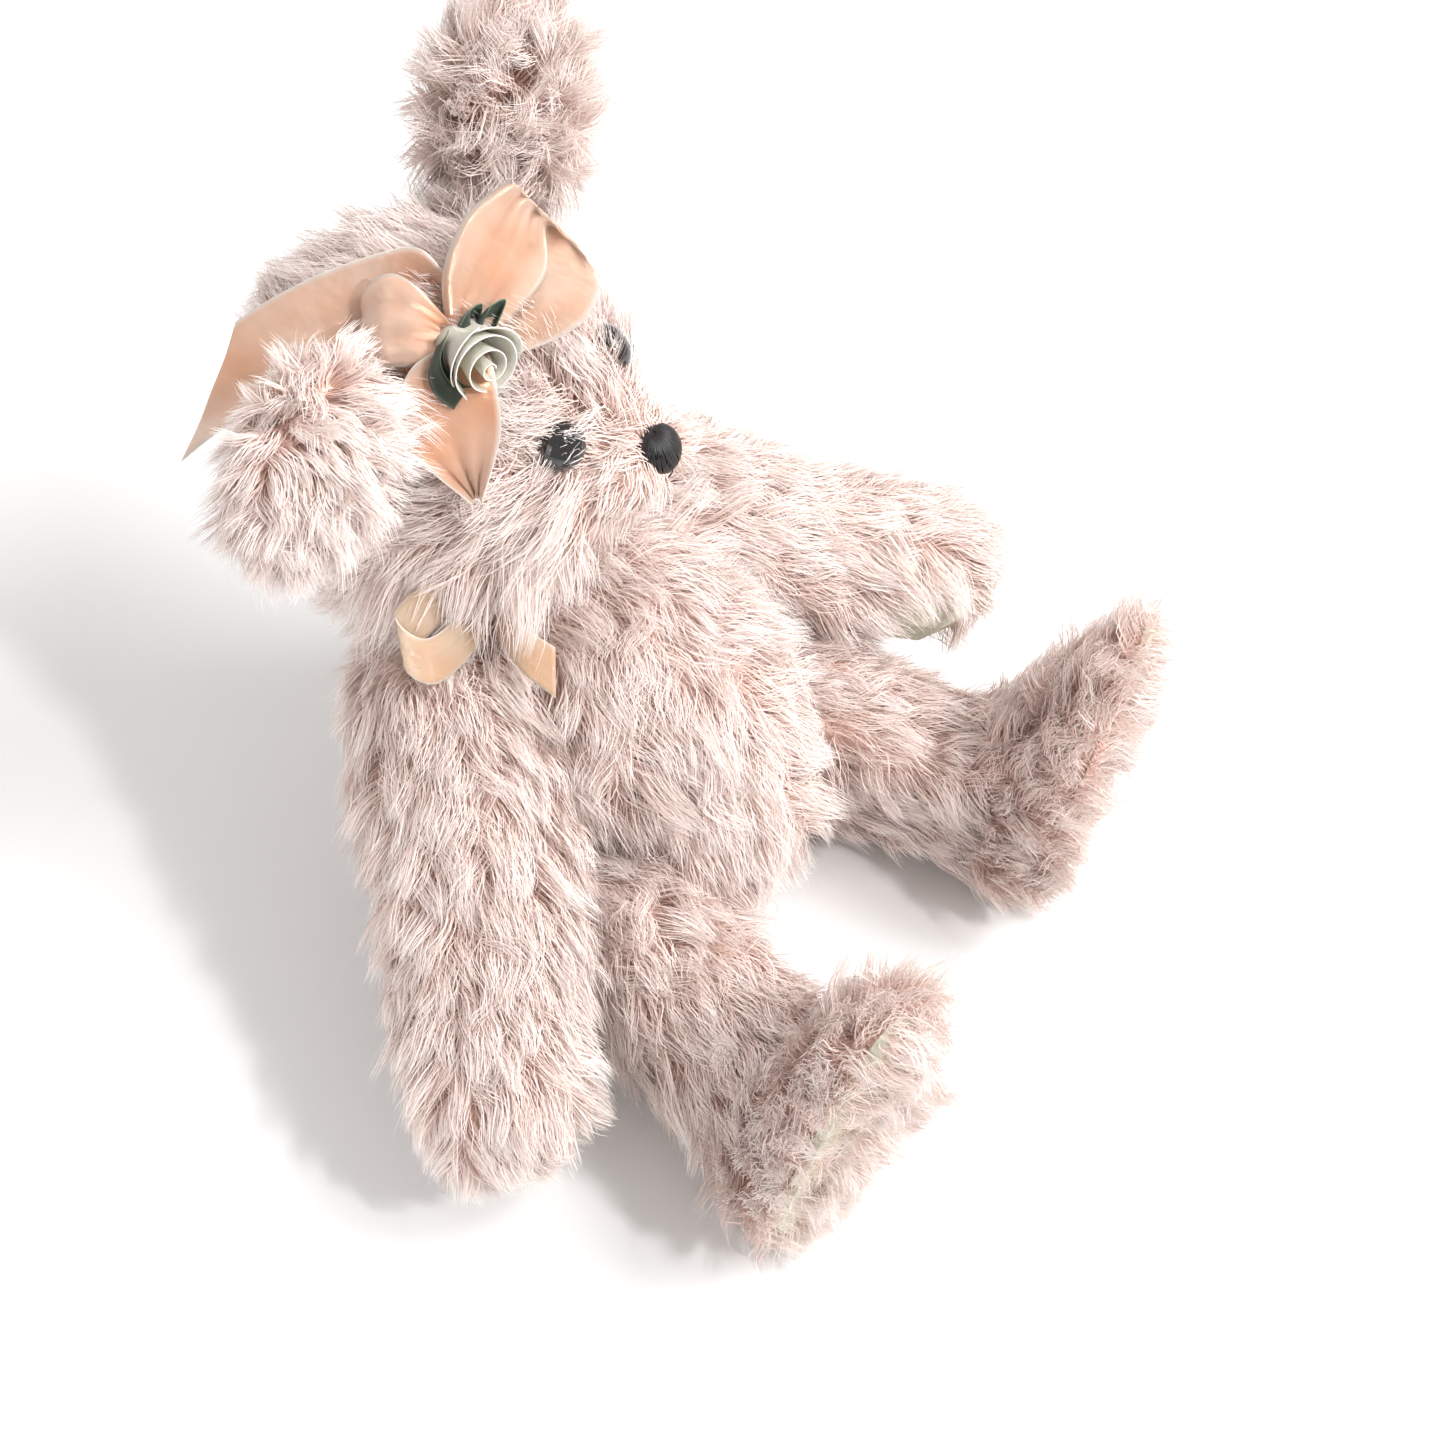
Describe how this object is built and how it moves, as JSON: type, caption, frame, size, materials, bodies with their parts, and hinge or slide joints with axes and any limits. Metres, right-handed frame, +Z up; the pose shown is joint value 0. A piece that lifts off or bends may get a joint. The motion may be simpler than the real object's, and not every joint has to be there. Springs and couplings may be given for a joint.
{
  "type": "jointed teddy bear",
  "caption": "Seated mohair teddy bear whose head, arms and legs turn on hidden disc joints; long pale pile, suede pads and a tied satin hair bow with a rosebud.",
  "frame": {"origin": "centre of the flat of the seat that the bear rests on", "axes": "+Z up, the body faces -Y, +X towards the left arm of the bear"},
  "size_m": [0.2053, 0.1787, 0.1722],
  "materials": {
    "mohair": "long, curled mohair pile on a woven backing",
    "stuffing": "firm soft filling",
    "suede": "soft suede pad",
    "hardboard": "pressed hardboard disc",
    "steel": "plain steel",
    "black_glass": "glossy black glass or plastic eye",
    "black_thread": "stitched embroidery thread",
    "satin": "double-faced satin ribbon",
    "ivory_satin": "folded satin ribbon",
    "green_ribbon": "folded ribbon"
  },
  "bodies": {
    "arm_left": {"arm_left_inner_panel": "mohair", "arm_left_outer_panel": "mohair", "arm_left_stuffing": "stuffing", "paw_pad_left": "suede", "shoulder_left_cotter_pin": "steel", "shoulder_left_limb_disc": "hardboard", "shoulder_left_limb_washer": "steel"},
    "arm_right": {"arm_right_inner_panel": "mohair", "arm_right_outer_panel": "mohair", "arm_right_stuffing": "stuffing", "paw_pad_right": "suede", "shoulder_right_cotter_pin": "steel", "shoulder_right_limb_disc": "hardboard", "shoulder_right_limb_washer": "steel"},
    "torso": {"body_back_panel": "mohair", "body_front_panel": "mohair", "body_stuffing": "stuffing", "hip_left_body_disc": "hardboard", "hip_left_body_washer": "steel", "hip_right_body_disc": "hardboard", "hip_right_body_washer": "steel", "neck_body_disc": "hardboard", "neck_body_washer": "steel", "neck_ribbon": "satin", "shoulder_left_body_disc": "hardboard", "shoulder_left_body_washer": "steel", "shoulder_right_body_disc": "hardboard", "shoulder_right_body_washer": "steel"},
    "head": {"ear_left_back": "mohair", "ear_left_front": "mohair", "ear_right_back": "mohair", "ear_right_front": "mohair", "eye_left": "black_glass", "eye_right": "black_glass", "hair_bow": "satin", "hair_ribbon_streamer": "satin", "head_gusset": "mohair", "head_left_panel": "mohair", "head_right_panel": "mohair", "head_stuffing": "stuffing", "neck_cotter_pin": "steel", "neck_head_disc": "hardboard", "neck_head_washer": "steel", "nose_and_mouth": "black_thread", "rosebud": "ivory_satin", "rosebud_leaves": "green_ribbon"},
    "leg_left": {"foot_pad_left": "suede", "hip_left_cotter_pin": "steel", "hip_left_limb_disc": "hardboard", "hip_left_limb_washer": "steel", "leg_left_inner_panel": "mohair", "leg_left_outer_panel": "mohair", "leg_left_stuffing": "stuffing"},
    "leg_right": {"foot_pad_right": "suede", "hip_right_cotter_pin": "steel", "hip_right_limb_disc": "hardboard", "hip_right_limb_washer": "steel", "leg_right_inner_panel": "mohair", "leg_right_outer_panel": "mohair", "leg_right_stuffing": "stuffing"}
  },
  "joints": [
    {"name": "neck_turn", "type": "hinge", "parent": "torso", "child": "head", "pos_m": [0, 0.04848, 0.08198], "axis": [0, 0.7071, 0.7071], "continuous": true},
    {"name": "shoulder_left_swing", "type": "hinge", "parent": "torso", "child": "arm_left", "pos_m": [0.024, 0.03151, 0.06501], "axis": [-0.866, -0.3536, -0.3536], "range_deg": [-75, 75]},
    {"name": "shoulder_right_swing", "type": "hinge", "parent": "torso", "child": "arm_right", "pos_m": [-0.024, 0.03151, 0.06501], "axis": [-0.866, 0.3536, 0.3536], "range_deg": [-75, 75]},
    {"name": "hip_left_swing", "type": "hinge", "parent": "torso", "child": "leg_left", "pos_m": [0.022, -0.0095, 0.024], "axis": [-0.9703, -0.2419, 0], "range_deg": [-55, 25]},
    {"name": "hip_right_swing", "type": "hinge", "parent": "torso", "child": "leg_right", "pos_m": [-0.022, -0.0095, 0.024], "axis": [-0.9703, 0.2419, 0], "range_deg": [-55, 25]}
  ]
}
